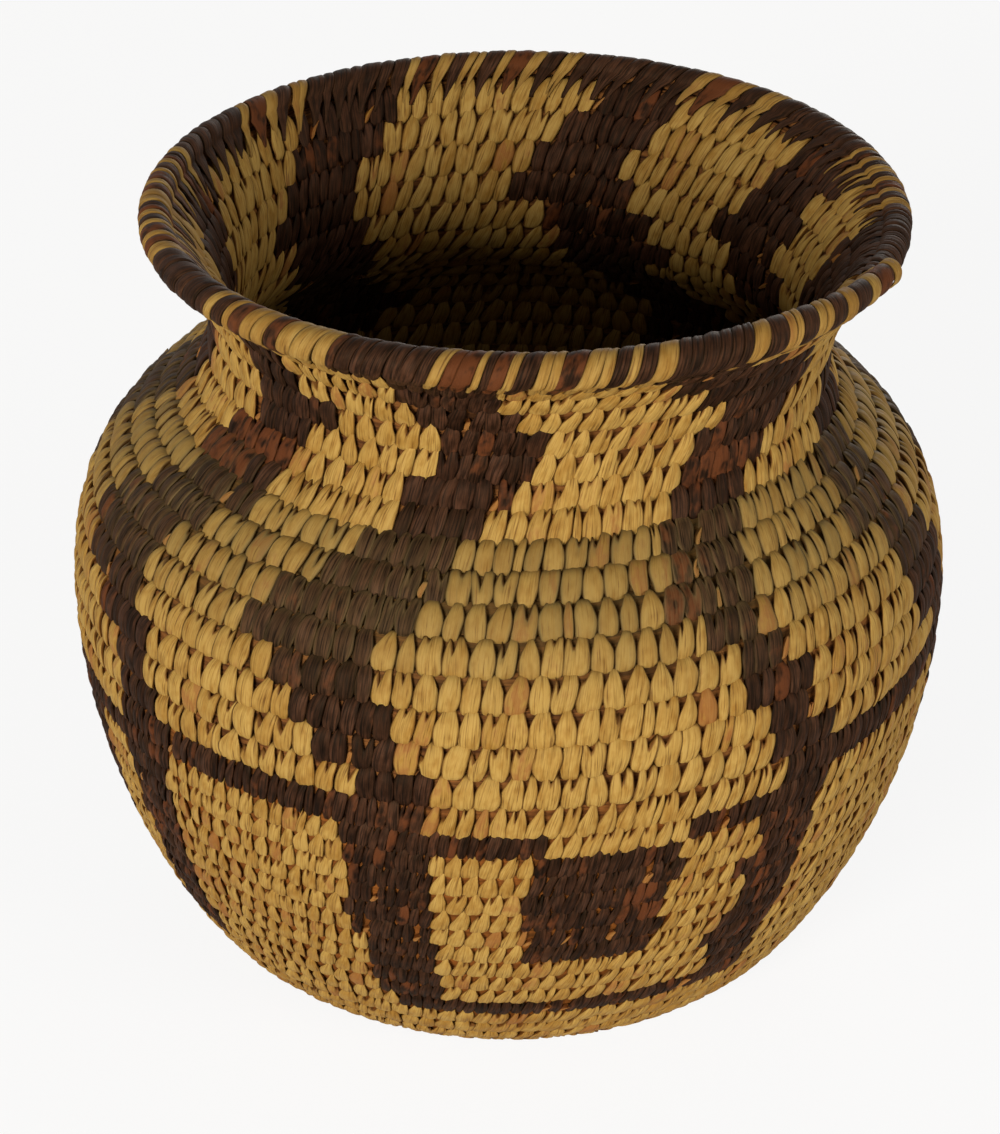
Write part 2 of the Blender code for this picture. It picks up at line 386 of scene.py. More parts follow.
def strip_material(name, looks):
    """A split leaf or pod strip: fibres and shades, then stains, dust, and painted shade darkening its
    edges and tucked ends.
    """
    material = emptied(bpy.data.materials.new(name))
    tree = material.node_tree
    lay = add(tree, "Attribute", attribute_name="lay").outputs["Vector"]
    tone = add(tree, "Attribute", attribute_name="tone")
    light, stain, dust = add(tree, "SeparateColor", {"Color": tone.outputs["Color"]}).outputs
    edge = tone.outputs["Alpha"]

    scale = (1 / FIBRE_MM, FIBRE_STRETCH / FIBRE_MM, 7.3)
    along = add(tree, "Mapping", {"Vector": lay, "Scale": scale}).outputs[0]
    fibre = add(tree, "TexNoise", {"Vector": along, "Scale": 1.0, "Detail": 3.0}).outputs["Fac"]
    scale = (1 / FLECK_MM, FLECK_STRETCH / FLECK_MM, 3.1)
    spot = add(tree, "Mapping", {"Vector": lay, "Scale": scale}).outputs[0]
    fleck = add(tree, "TexNoise", {"Vector": spot, "Scale": 1.0, "Detail": 2.0}).outputs["Fac"]

    shade = add(tree, "Math", {0: light, 1: fleck, 2: fleck}, operation="MULTIPLY_ADD").outputs[0]
    level = add(tree, "MapRange", {"Value": shade, "From Min": 0.35, "From Max": 1.45}).outputs[0]
    shades = add(tree, "ValToRGB", {"Fac": level}, looks["shades"]).outputs["Color"]
    marks = add(tree, "Math", {0: stain, 1: fleck}, operation="MULTIPLY").outputs[0]
    span = {"Value": marks, "From Min": 0.34, "From Max": 0.52, "To Max": looks["stain_amount"]}
    stained = add(tree, "MapRange", span).outputs[0]
    thin = add(tree, "Math", {0: fibre, 1: looks["dust_free"]}, operation="SUBTRACT").outputs[0]
    hold = add(tree, "Math", {0: edge, 1: DUST_AT_EDGE, 2: thin}, operation="MULTIPLY_ADD").outputs[0]
    dusty = add(tree, "Math", {0: dust, 1: hold}, operation="MULTIPLY", use_clamp=True).outputs[0]
    # Painted shade: the edge colour darkens the strip's sides and tucked ends, standing in for the shade
    # in the seams.
    span = {"Value": edge, "From Min": 0.45, "From Max": 1.0, "To Max": looks["edge_shade_amount"]}
    edge_shade = add(tree, "MapRange", span).outputs[0]

    colour = add(tree, "ValToRGB", {"Fac": fibre}, looks["fibre"]).outputs["Color"]
    for way, share, over in (
            (TINT_COLOURS, 1.0, shades), (MIX_COLOURS, stained, looks["stain"]),
            (MIX_COLOURS, dusty, looks["dust"]), (TINT_COLOURS, edge_shade, looks["edge"])):
        colour = add(tree, "Mix", {SHARE: share, FIRST: colour, SECOND: over}, **way).outputs[MIXED]

    span = {"Value": fibre, "To Min": looks["rough"][0], "To Max": looks["rough"][1]}
    rough = add(tree, "MapRange", span).outputs[0]
    relief = {"Height": fibre, "Strength": 1.0, "Distance": FIBRE_DEPTH_MM * MM}
    surface = {"Base Color": colour, "Roughness": rough, "Normal": add(tree, "Bump", relief).outputs[0],
               "IOR": LEAF_IOR, "Specular IOR Level": looks["gloss"], "Specular Tint": looks["gloss_tint"]}
    shader = add(tree, "BsdfPrincipled", surface)
    add(tree, "OutputMaterial", {"Surface": shader.outputs[0]})
    return material


YUCCA = strip_material("yucca_leaf", {
    "fibre": (
        (0.31, "#77572a"), (0.38, "#9f7e40"), (0.52, "#b4934e"), (0.66, "#bc9b57"), (0.82, "#a07f40")),
    "shades": ((0.0, "#c4af8d"), (0.5, "#e4dfd8"), (1.0, "#e9e7e6")),
    "stain": "#7d4620", "stain_amount": 0.66,
    "dust": "#665530", "dust_free": -0.02,
    # Painted shade: the edge colour darkens the sides and tucked ends of the yucca strips.
    "edge": "#8d5f2d", "edge_shade_amount": 0.85,
    "rough": (0.52, 0.74), "gloss": 0.18, "gloss_tint": "#fff0d2",
})
print("material:", YUCCA.name)

# %% [markdown]
# Devil's claw is the black horn-like skin of a seed pod, split into strips. It is hard and a little
# glossy, black-brown, with brown fibres where it has worn and an orange core that shows in places.

# %% Devil's claw
CLAW = strip_material("devils_claw", {
    "fibre": ((0.34, "#190f09"), (0.46, "#322118"), (0.62, "#4d3325"), (0.8, "#291a11")),
    "shades": ((0.0, "#85776a"), (0.5, "#ddd1c6"), (1.0, "#ffffff")),
    "stain": "#5b3119", "stain_amount": 0.75,
    "dust": "#665537", "dust_free": 0.33,
    # Painted shade: the edge colour darkens the sides and tucked ends of the devil's claw strips.
    "edge": "#5a4431", "edge_shade_amount": 0.75,
    "rough": (0.46, 0.7), "gloss": 0.09, "gloss_tint": "#ffe2c0",
})
print("material:", CLAW.name)

# %% [markdown]
# The grass bundle is seen only in the gaps: thin stems lying along the coil, rust brown with age. On
# the base and the lower wall, where the stitches are finest, the stems look paler.

# %% Grass
STEM_MM = 0.7
STEM_STRETCH = 0.07
STEM_DEPTH_MM = 0.3


def grass_material():
    """Stems side by side, paler where they are fresh, and dust over them."""
    material = emptied(bpy.data.materials.new("grass_stems"))
    tree = material.node_tree
    lay = add(tree, "Attribute", attribute_name="lay").outputs["Vector"]
    scale = (1 / STEM_MM, STEM_STRETCH / STEM_MM, 1.0)
    stems = add(tree, "Mapping", {"Vector": lay, "Scale": scale}).outputs[0]
    stem = add(tree, "TexNoise", {"Vector": stems, "Scale": 1.0, "Detail": 2.0}).outputs["Fac"]
    tone = add(tree, "Attribute", attribute_name="tone").outputs["Color"]
    fresh, _, dust = add(tree, "SeparateColor", {"Color": tone}).outputs

    browns = ((0.3, "#2a180c"), (0.5, "#5e3a1d"), (0.62, "#7b4f27"), (0.8, "#3f2512"))
    brown = add(tree, "ValToRGB", {"Fac": stem}, browns).outputs["Color"]
    warmth = add(tree, "Mix", {SHARE: fresh, FIRST: "#ffffff", SECOND: "#ffe2b8"}, **MIX_COLOURS)
    warm = {SHARE: 1.0, FIRST: brown, SECOND: warmth.outputs[MIXED]}
    warm = add(tree, "Mix", warm, **TINT_COLOURS).outputs[MIXED]
    pale = add(tree, "Mix", {SHARE: 0.3, FIRST: warm, SECOND: "#8a5626"}, **MIX_COLOURS).outputs[MIXED]
    colour = warm
    for share, over in ((fresh, pale), (dust, "#4d4224")):
        layers = {SHARE: share, FIRST: colour, SECOND: over}
        colour = add(tree, "Mix", layers, **MIX_COLOURS).outputs[MIXED]

    relief = {"Height": stem, "Strength": 1.0, "Distance": STEM_DEPTH_MM * MM}
    bump = add(tree, "Bump", relief).outputs[0]
    surface = {"Base Color": colour, "Normal": bump, "Roughness": 0.8, "IOR": LEAF_IOR,
               "Specular IOR Level": 0.06}
    shader = add(tree, "BsdfPrincipled", surface)
    add(tree, "OutputMaterial", {"Surface": shader.outputs[0]})
    return material


GRASS = grass_material()
print("material:", GRASS.name)

# %% [markdown]
# All the stitches of one colour on one turn become one mesh. The helper below takes corner arrays in
# millimetres, the faces and the two sets of stitch data, and makes the object that stands in for its
# turn of the frame.

# %% Make a piece from arrays


def make_piece(name, points, faces, material, lay, tone, nodes):
    """One mesh with its stitch data, on the jar's body and in place of its turns of the frame."""
    mesh = bpy.data.meshes.new(name)
    mesh.from_pydata((points * MM).tolist(), [], faces)
    mesh.materials.append(material)
    mesh.shade_smooth()
    data = (("lay", "FLOAT_VECTOR", "vector", lay), ("tone", "FLOAT_COLOR", "color", tone))
    for label, kind, field, values in data:
        attribute = mesh.attributes.new(label, kind, "POINT")
        attribute.data.foreach_set(field, values.astype(np.float32).ravel())
    piece = bpy.data.objects.new(name, mesh)
    bpy.context.scene.collection.objects.link(piece)
    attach(piece, "root")
    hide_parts(*nodes)
    return piece


# %% [markdown]
# The bundle is swept along the centre line as a flattened tube, a little smaller than the frame's
# turn so that the strips lie over it. It is one long spiral on the real jar. Here the base, the wall
# and the rim each hold their own length of it. It is thicker through the base and the lower wall
# than through the body. Years on a shelf have left dust on the shoulder, where the wall slopes
# most, so the bundle and the strips there ask one function how much.

# %% The grass bundle
BUNDLE_SIDES = 16
BUNDLE_STEPS = 96
BUNDLE_RISE = 0.53  # half its height, as a share of a course
BUNDLE_HALF_MM = (1.85, 1.45)  # half its thickness, on the lower wall and on the body
BUNDLE_THINS = (13.5, 2)  # the course where it starts to thin, and over how many
BUNDLE_SQUARED = 0.62
BUNDLE_DUST = 0.6
WRAP_ROOM_MM = 0.85
KEEL = 0.42
SHOULDER_COURSES = (17.5, 21.3, 23.0, 24.0)
RIM_START_MM = 6.2
RIM_GROWTH_MM = 1.8
TAIL_TAPER = (0.908, 0.092)  # where the tail starts to taper in the last turn, and over how much
TAIL_END_MM = 5.5


def risen(turns, rise):
    """A soft step from 0 to 1 up the wall, from the course where it starts and its length."""
    start, length = rise
    return smooth((turns - FOOT_TURN - start) / length)


def shoulder_dust(turns):
    """How dusty a place is: 0 to 1, full on the shoulder."""
    start, full, fade, end = (FOOT_TURN + course for course in SHOULDER_COURSES)
    return smooth((turns - start) / (full - start)) * (1 - smooth((turns - fade) / (end - fade)))


def rim_thickness(turns):
    """Thickness of the rim coil in millimetres: it grows over the last turn and tapers in its tail."""
    share = np.clip(np.asarray(turns) - RIM_TURN, 0, 1)
    size = RIM_START_MM + smooth(share) * RIM_GROWTH_MM
    start, length = TAIL_TAPER
    return size + smooth((share - start) / length) * (TAIL_END_MM - size)


def squarish(wave, power):
    """A sine or cosine pushed outward, which makes a round section squarer."""
    return np.sign(wave) * np.abs(wave) ** power


def bundle(name, first, last, nodes):
    """One length of the bundle, as a closed tube."""
    turns = np.linspace(first, last, int((last - first) * BUNDLE_STEPS) + 1)
    centre, _, up, out, height = coil_frame(turns)
    angle = np.arange(BUNDLE_SIDES) / BUNDLE_SIDES * math.tau
    in_rim = turns >= RIM_TURN
    thinned = risen(turns, BUNDLE_THINS)
    lower, upper = BUNDLE_HALF_MM
    rim_half = rim_thickness(turns) / 2 - WRAP_ROOM_MM
    half_up = np.where(in_rim, rim_half, height * BUNDLE_RISE)
    half_out = np.where(in_rim, rim_half, lower + (upper - lower) * thinned)
    squared = np.where(in_rim, 1.0, BUNDLE_SQUARED)[:, None]
    keel = np.where(in_rim, KEEL, 0)[:, None] * np.clip(-np.sin(angle), 0, 1) ** 3
    up_part = squarish(np.sin(angle), squared) * (1 + keel)
    out_part = squarish(np.cos(angle), squared)
    points = (centre[:, None] + up[:, None] * (half_up[:, None] * up_part)[..., None]
              + out[:, None] * (half_out[:, None] * out_part)[..., None])
    steps = np.linalg.norm(np.diff(centre, axis=0), axis=1)
    lay = np.zeros(points.shape)
    lay[..., 0] = np.sin(angle) * half_up[:, None]
    lay[..., 1] = np.concatenate([[0], np.cumsum(steps)])[:, None]
    lay[..., 2] = np.cos(angle) * half_out[:, None] / 3
    tone = np.zeros(points.shape[:2] + (4,))
    tone[..., 0] = 1 - thinned[:, None]
    tone[..., 2] = BUNDLE_DUST * shoulder_dust(turns)[:, None]
    grid = np.arange(turns.size * BUNDLE_SIDES).reshape(turns.size, BUNDLE_SIDES)
    near, far = grid[:-1], grid[1:]
    quads = np.stack([np.roll(near, -1, 1), np.roll(far, -1, 1), far, near], -1).reshape(-1, 4)
    faces = quads.tolist() + [grid[0].tolist(), grid[-1][::-1].tolist()]
    return make_piece(name, points.reshape(-1, 3), faces, GRASS, lay.reshape(-1, 3),
                      tone.reshape(-1, 4), nodes)


base_bundle = bundle("grass_bundle_of_the_base", 0.02, FOOT_TURN, BASE_NODES)
wall_bundle = bundle("grass_bundle_of_the_wall", FOOT_TURN, RIM_TURN, WALL_NODES)
rim_bundle = bundle("grass_bundle_of_the_rim", RIM_TURN, LAST_TURN, ["rim_coil"])
print("bundle faces:", sum(len(p.data.polygons) for p in (base_bundle, wall_bundle, rim_bundle)))

# %% [markdown]
# A stitch shows as a blade: blunt at the foot, where it goes into the course below, widest near the
# middle and narrow at the top. Where the foot of a stitch above comes down inside it, it has split
# and its top is forked. The blades of a turn are built at once as one grid of numbers, and each is
# closed by a point inside the bundle. Modelling each blade beats painting them, because the gaps,
# feet and forks then cast real shadows and the meshes carry the surface.

# %% Shape the blades
CROWN_MM = 2.9
ROLL_TOP = 0.53
ROLL_FOOT = 0.84
ROLL_INSIDE = (0.56, 0.84)
FORK_REACH = 0.75  # a foot that lands this near the middle splits the strip, in half widths
FORK_RISE = (0.34, 0.66)  # where a fork starts up the blade, and how far it goes on
FAR_FOOT = 9.0  # further off than any foot
ROOT_DOWN = 0.12  # the hidden point of a blade: courses below the stitch's centre
ROOT_OUT_MM = 0.6
BASE_REACH_MM = 2.5  # how far strips stand out under the base, where the jar rests on them
BASE_EDGE = 0.6  # so much of the wall's first turn still faces the floor
FACES = {  # side: (columns, rows, lowest row, highest row in courses from the stitch's centre)
    1: (11, 12, -0.85, 0.55),
    -1: (7, 10, -0.86, 0.56),
}


def fork_places(stitches):
    """For each stitch, where the nearest foot of the course above lands across its width."""
    turns, widths = stitches[:, 0], stitches[:, 1]
    girth = girth_at(turns)
    above = np.searchsorted(turns, turns + 1)
    nearest = np.full(len(turns), FAR_FOOT)
    for shift in (-1, 0, 1):
        index = np.clip(above + shift, 0, len(turns) - 1)
        offset = (turns[index] - turns - 1) * girth / (widths / 2)
        nearest = np.where(np.abs(offset) < np.abs(nearest), offset, nearest)
    return nearest


def blades(stitches, forks, looks, side):
    """Corner, lay and tone arrays for every stitch on one face of the wall."""
    columns, rows, low, high = FACES[side]
    count, total = len(stitches), columns * rows
    column = np.linspace(-1, 1, columns)[None, :, None]
    row = np.linspace(0, 1, rows)[None, None, :]
    turns, width = (stitches[:, i][:, None, None] for i in (0, 1))
    look = {key: value[:, None, None] for key, value in looks.items()}
    root, _, root_up, root_out, root_height = coil_frame(stitches[:, 0])
    girth = girth_at(stitches[:, 0])[:, None, None]
    height = root_height[:, None, None]

    fork = forks[:, None, None] + look["stray"]
    forked = (np.abs(fork) < FORK_REACH) * look["splits"]
    notch = forked * look["notch"] * np.clip(1 - np.abs(column - fork) / look["gape"], 0, 1)
    top_part = np.clip((row - FORK_RISE[0]) / FORK_RISE[1], 0, 1)
    reach = row - top_part * (notch * 0.55 + 0.13 * np.abs(column) ** 3)
    reach = reach + np.clip(1 - row / 0.3, 0, 1) * 0.09 * np.abs(column) ** 3
    up_share = low * look["drop"] + (high - low * look["drop"]) * reach * look["length"]
    up_share = up_share + (row < 0.01) * look["ragged"] * 0.035 * np.sin(column * 11 + look["seed"] * 40)

    waist = look["waist"]
    from_foot = look["foot"] + (1 - look["foot"]) * np.sin(np.clip(row / waist, 0, 1) * math.pi / 2)
    top_width = np.where(forked > 0, look["prongs"], look["top"])
    over_waist = np.clip((row - waist) / (1 - waist), 0, 1)
    to_top = top_width + (1 - top_width) * np.cos(over_waist * math.pi / 2)
    taper = np.where(row < waist, from_foot, to_top)
    taper = taper + look["ragged"] * 0.07 * np.sin(row * 8 + column * 2 + look["seed"] * 60)
    bend = look["lean"] * (reach - 0.42) + look["curl"] * (reach - 0.42) ** 2
    cross = column * width / 2 * taper * look["cover"] + bend * height * side

    bow = np.where(up_share > 0, *((ROLL_TOP, ROLL_FOOT) if side > 0 else ROLL_INSIDE))
    round_roll = np.sqrt(np.clip(1 - (up_share / bow) ** 2, 0.02, 1))
    flat_roll = 1 - np.where(up_share > 0, 0.3, 0.06) * np.clip(np.abs(up_share) / 0.5, 0, 1) ** 2
    pierce = 0.2 * np.clip((0.1 - row) / 0.1, 0, 1) ** 1.5
    crown = look["roll"] * round_roll + (1 - look["roll"]) * flat_roll - pierce
    round_off = np.abs(column) ** 2.8 * look["belly"] * (0.55 + 0.45 * np.sin(row * math.pi))
    ridge = look["crease"] * 0.16 * np.abs(np.sin(column * 3.4 + look["seed"] * 31)) * (1 - column ** 2)
    out = crown * (CROWN_MM + look["proud"]) - round_off - ridge
    out = out + look["twist"] * column - notch * top_part * 0.8
    if side > 0:
        out = np.where(turns < FOOT_TURN + BASE_EDGE, np.minimum(out, BASE_REACH_MM), out)

    shape = np.broadcast_shapes(cross.shape, up_share.shape, out.shape)
    place, up, out = (np.broadcast_to(a, shape).reshape(count, -1)
                      for a in (turns + cross / girth, up_share * height, out))
    middle, _, rise, away, _ = coil_frame(place)
    points = middle + rise * up[..., None] + away * out[..., None] * side
    root = root - root_up * root_height[:, None] * ROOT_DOWN + root_out * side * ROOT_OUT_MM
    points = np.concatenate([points, root[:, None]], 1)

    lay = np.zeros((count, total + 1, 3))
    across = column * width / 2 * (0.5 + 0.5 * taper)
    lay[:, :total, 0] = np.broadcast_to(across, shape).reshape(count, -1)
    lay[:, :total, 1] = up
    lay[..., 2] = looks["seed"][:, None] * 50
    tone = np.zeros((count, total + 1, 4))
    for channel, key in enumerate(("light", "stain", "dust")):
        tone[..., channel] = looks[key][:, None]
    # Painted shade: this border darkens the blade's sides, its top and foot where they tuck into the coil,
    # and the notch of a fork.
    tucked_top_shade = np.clip((row - 0.78) / 0.22, 0, 1) * 0.9
    tucked_foot_shade = np.clip((0.08 - row) / 0.08, 0, 1) * 0.6
    border = np.maximum(np.abs(column) ** 6, tucked_top_shade) + notch * top_part * 0.9
    border = np.maximum(border, tucked_foot_shade)
    tone[:, :total, 3] = np.clip(np.broadcast_to(border, shape), 0, 1).reshape(count, -1)
    tone[:, total, 3] = 1
    return points, lay, tone


def blade_faces(count, side):
    """Quads of each blade's face and triangles from its border to its root."""
    columns, rows = FACES[side][:2]
    grid = np.arange(columns * rows).reshape(columns, rows)
    quads = np.stack([grid[:-1, :-1], grid[1:, :-1], grid[1:, 1:], grid[:-1, 1:]], -1).reshape(-1, 4)
    border = np.concatenate([grid[:, 0], grid[-1, 1:], grid[-2::-1, -1], grid[0, -2:0:-1]])
    fans = np.stack([np.roll(border, -1), border, np.full(len(border), columns * rows)], -1)
    if side < 0:
        quads, fans = quads[:, ::-1], fans[:, ::-1]
    start = (np.arange(count) * (columns * rows + 1))[:, None, None]
    return (quads + start).reshape(-1, 4).tolist() + (fans + start).reshape(-1, 3).tolist()


# %% [markdown]
# No two strips are alike. Each stitch draws its own width, lean, split, stain and shade, and some of
# it follows where it is: the upper stitches lean like shells, the shoulder holds dust, and the foot
# is darker. Stains come in runs, because a leaf with a rusty skin gives several strips in a row.

# %% Give each stitch its own look
RUSTY_RUNS = (  # course, and the degrees from the front between which its dark strips are rusty
    (25, -62, -41), (24, -64, -50), (25, 29, 49), (21, 21, 35), (11, 16, 24), (10, 14, 24),
)
NECK_RISE = (22.4, 0.8)
BODY_RISE = (14.5, 1.5)
FOOT_RISE = (2, 2)


def slow_noise(turns, scale, seed):
    """A value from 0 to 1 that changes slowly along the coil and up the wall."""
    waves = np.random.default_rng(seed).uniform(0, math.tau, (5, 2))
    angle = (turns % 1) * math.tau
    total = sum(np.sin((n + 1) * scale * angle + waves[n, 0] + turns * (0.5 + 0.3 * n) + waves[n, 1])
                for n in range(5))
    return np.clip(0.5 + total / 6, 0, 1)


def looks_for(stitches, side):
    """The numbers of each stitch's own shape and shade, as one array for each."""
    random = np.random.default_rng(11 if side > 0 else 12)
    turns, width, dark = stitches.T
    count = len(turns)
    course = turns - FOOT_TURN
    inner = side < 0

    def pick(low, high):
        return random.uniform(low, high, count)

    def by_strip(pale_value, dark_value):
        return np.where(dark > 0, dark_value, pale_value)

    neck = risen(turns, NECK_RISE)
    lower = 1 - risen(turns, BODY_RISE)
    foot = 1 - risen(turns, FOOT_RISE)
    body = 1 - neck - lower
    slant = 0.16 * body + 0.3 * lower + 0.32 * neck
    whole = np.floor(course) + 1
    habit = np.random.default_rng(31).uniform(0, 1, LAST_TURN + 2)[np.floor(turns).astype(int)]
    habit = 1.5 * habit - 0.35 + pick(-0.3, 0.3)
    tented = np.clip(np.maximum(neck, lower) - 0.45 * foot + body * habit, 0, 1)
    tented = np.where(dark > 0, pick(0.0, 0.45), tented) * (0.4 if inner else 1)
    sliver = width <= CORE_SLIVER_MM

    def between(square_low, square_high, tent_low, tent_high):
        return pick(square_low, square_high) * (1 - tented) + pick(tent_low, tent_high) * tented

    dark_near = np.roll(dark, 1) + np.roll(dark, -1)
    run = smooth((slow_noise(turns, 3, 5) - 0.6) / 0.3)
    chance = by_strip(0.04 + 0.28 * run + 0.06 * lower, 0.05 + 0.12 * run + 0.15 * lower)
    stain = np.where(pick(0, 1) < chance, pick(0.6, 1.0), pick(0.0, 0.64))
    stain = np.where((pick(0, 1) < by_strip(0.01, 0.0)) | sliver, 1.4, stain)
    phi = turned(phi_of(turns))
    for row, first, last in RUSTY_RUNS:
        rusty = (whole == row) & (phi > first) & (phi < last) & (dark > 0) & (pick(0, 1) < 0.85)
        stain = np.where(rusty, pick(0.7, 1.1), stain)
    return {
        "seed": pick(0, 1),
        "light": by_strip(pick(0.15, 0.9), pick(-0.1, 1.0)) - 0.2 * foot,
        "stain": stain,
        "dust": (shoulder_dust(turns) * pick(0.45, 1.0) + 0.06 * pick(0, 1)) * (0.3 if inner else 1),
        "splits": (pick(0, 1) < by_strip(0.25 if inner else 0.55, 0.2)).astype(float),
        "stray": pick(-0.28, 0.28),
        "notch": pick(0.4, 1.0),
        "ragged": pick(0, 1) * by_strip(1, 1.6),
        "waist": between(0.5, 0.68, 0.27, 0.42),
        "foot": between(0.52, 0.74, 0.78, 0.98) + 0.22 * foot,
        "top": between(0.68, 0.98, 0.14, 0.42) * (0.7 if inner else 1),
        "prongs": between(0.84, 1.05, 0.5, 0.8),
        "gape": pick(0.34, 0.6),
        "roll": 0.3 + 0.65 * body,
        "drop": (pick(0.93, 1.03) + 0.05 * tented * (1 - body)) * np.where(sliver, 0.7, 1),
        "length": np.where(sliver & (dark_near > 0), pick(0.35, 0.6), 1.0),
        "lean": (slant + pick(-0.12, 0.16)) * by_strip(1, 0.8) * (1.5 if inner else 1),
        "curl": pick(-0.12, 0.3),
        "twist": pick(-0.28, 0.32),
        "cover": by_strip(pick(0.94, 1.08) + 0.12 * foot, pick(1.03, 1.15)),
        "belly": pick(0.4, 0.8),
        "crease": pick(0.1, 1.5) ** 1.5,
        "proud": pick(-0.16, 0.16) * (1 - 0.7 * foot),
    }


FORKS = fork_places(STITCHES)
print("stitches that a foot above could split:", int((np.abs(FORKS) < FORK_REACH).sum()))

# %% [markdown]
# Now the whole basket is sewn. The two strips that show of every stitch, on the outer face and on
# the inner one, go into one mesh for the pale stitches of a turn and one for its dark stitches. That
# is quicker than thousands of small objects, and each mesh still stands in for one turn of the frame.

# %% Sew the stitches on
SEWN = {side: blades(STITCHES, FORKS, looks_for(STITCHES, side), side) for side in (1, -1)}
STRIPS = (
    ("yucca_stitches", YUCCA, "yucca_stitching", 0),
    ("devils_claw_stitches", CLAW, "devils_claw_stitching", 1),
)
face_total = 0
for turn, node in enumerate(TURN_NODES[:-1]):
    for label, material, slot, dark in STRIPS:
        own = (np.floor(STITCHES[:, 0]).clip(0, RIM_TURN - 1) == turn) & (STITCHES[:, 2] == dark)
        if not own.any():
            continue
        points, lay, tone = (np.concatenate([sewn[own].reshape(-1, sewn.shape[-1]) for sewn in pair])
                             for pair in zip(SEWN[1], SEWN[-1]))
        count = int(own.sum())
        shift = count * (FACES[1][0] * FACES[1][1] + 1)
        faces = blade_faces(count, 1)
        faces += [[corner + shift for corner in face] for face in blade_faces(count, -1)]
        make_piece(f"{label}_of_{node}", points, faces, material, lay, tone, [node])
        face_total += len(faces)
print("faces of all blades:", face_total)

# %% [markdown]
# The rim is finished by overcasting: each strip goes round the thick coil, over the top and down
# both faces into the course below. In the dark segments every strip is devil's claw. Between them
# broad dark strips and pale ones alternate, which makes the ticks. The strips are written in order,
# as a weaver would count them, and each run is fitted to end where its stretch of the rim ends.

# %% The order of the wraps round the rim
PALE, DARK, RED = 0, 1, 2  # yucca, devil's claw, and devil's claw with a rusty skin
KINDS = {"P": PALE, "D": DARK, "R": RED}


def strips(words):
    """A row of strips from words such as D3.4, a dark strip 3.4 mm wide."""
    return tuple((KINDS[word[0]], float(word[1:])) for word in words.split())


SOLID = strips("D3.4 D2.6 D4.0 D2.9 D3.6 D2.4")
TICKS = strips("D4.3 P2.2 P2.2 D4.2 P3.4 R4.6 P2.8")
LEFT_END_TICKS = strips("P3.2 D3.0 R2.6 P2.6 D4.2 P2.2 R5.0 P2.6 R4.2 P4.6")
LEFT_TICKS = strips("P3.0 D4.2 P2.4 R4.0 P3.2 P3.4 R3.8 P4.6 P5.4 P3.4 R2.0")
FRONT_TICKS = strips(
    "P2.6 R2.4 R4.1 P1.7 D2.1 R3.6 P2.1 D4.5 P2.4 P2.4 R4.6 P4.0 P2.5 D3.4 P2.5 D4.0 P5.0")
RIGHT_TICKS = strips("P4.2 D4.6 P2.2 P2.2 D5.0 P2.8 P2.8 D5.4 P3.6 D6.0 P3.4 R7.4 P4.4")
RIM_SEGMENTS = (  # degrees round from the front, and the ticks that follow
    (63, 86, TICKS), (110, 128, TICKS), (149, 168, TICKS), (200, 216, TICKS), (235, 253, LEFT_END_TICKS),
    (291, 308.5, LEFT_TICKS), (333, 346.7, FRONT_TICKS), (379.4, 390.5, RIGHT_TICKS), (423, 423, ()),
)
WRAP_OUT_MM = 2
WIDTH_CHANGE = (0.88, 1.12)


def lay_wraps(first, last, pattern):
    """Fills a stretch of the rim with a pattern of strips, fitted to end where the stretch ends."""
    centre = coil_at((first + last) / 2)
    girth = math.tau * (math.hypot(centre[0], centre[1]) + WRAP_OUT_MM)
    length = (last - first) * girth
    laid = pattern * max(1, round(length / sum(width for _, width in pattern)))
    widths = np.array([width for _, width in laid]) * RANDOM.uniform(*WIDTH_CHANGE, len(laid))
    widths *= length / widths.sum()
    places = first + (np.cumsum(widths) - widths / 2) / girth
    return [(place, width, kind) for place, width, (kind, _) in zip(places, widths, laid)]


def rim_walk():
    """Rows of (turns, width in mm, kind) for every wrap, from the seam once round the rim."""
    rows = []
    for (start, stop, ticks), (following, _, _) in zip(RIM_SEGMENTS, RIM_SEGMENTS[1:]):
        first, middle, last = (RIM_TURN + (angle - START_PHI) / 360 for angle in (start, stop, following))
        rows += lay_wraps(first, middle, SOLID) + lay_wraps(middle, last, ticks)
    return np.array(rows)


WRAPS = rim_walk()
print("wraps round the rim:", len(WRAPS))

# %% [markdown]
# A wrap climbs to the right on the outside and runs on the same way on the inside, where it ends in
# a long slanted foot. It is built as a closed band that follows the coil's round, and its strips
# touch, so the rim reads as one cord.

# %% Shape the wraps of the rim
WRAP_COLUMNS = 9
WRAP_ARC = (-38, 218)
WRAP_ARC_STEPS = 24
WRAP_FEET = {  # (out in mm, mm below the coil), from the tip upward
    "outer": ((2.3, 3.4), (2.85, 2.7), (3.1, 1.9), (3.2, 1.1), (3.25, 0.4)),
    "inner": ((2.4, 5.8), (2.8, 4.8), (3.0, 3.6), (3.1, 2.4), (3.15, 1.3), (3.2, 0.5)),
}
FOOT_REACH = 0.96
TAIL_SHARE = 0.8
OUTER_FOOT_MM = 4.5
INNER_FOOT_MM = 7.5
WRAP_LEAN = 0.3


def run_along(first, second):
    """The length run so far along each line, from its two coordinates."""
    steps = (np.diff(part, axis=-1, prepend=part[..., :1]) for part in (first, second))
    return np.cumsum(np.hypot(*steps), -1)


def wrap_path(radius):
    """The line of each wrap across the coil as (out, up), and its length from the coil's top."""
    arc = np.radians(np.linspace(*WRAP_ARC, WRAP_ARC_STEPS))
    reach = radius * FOOT_REACH
    line = [(np.minimum(out, reach), -radius - low) for out, low in WRAP_FEET["outer"]]
    line += [(radius * math.cos(a), radius * math.sin(a)) for a in arc]
    line += [(-np.minimum(out, reach), -radius - low) for out, low in WRAP_FEET["inner"][::-1]]
    out, up = (np.hstack([place[axis] for place in line]) for axis in (0, 1))
    run = run_along(out, up)
    top = np.argmax(up, axis=1)
    return out, up, run - np.take_along_axis(run, top[:, None], 1)


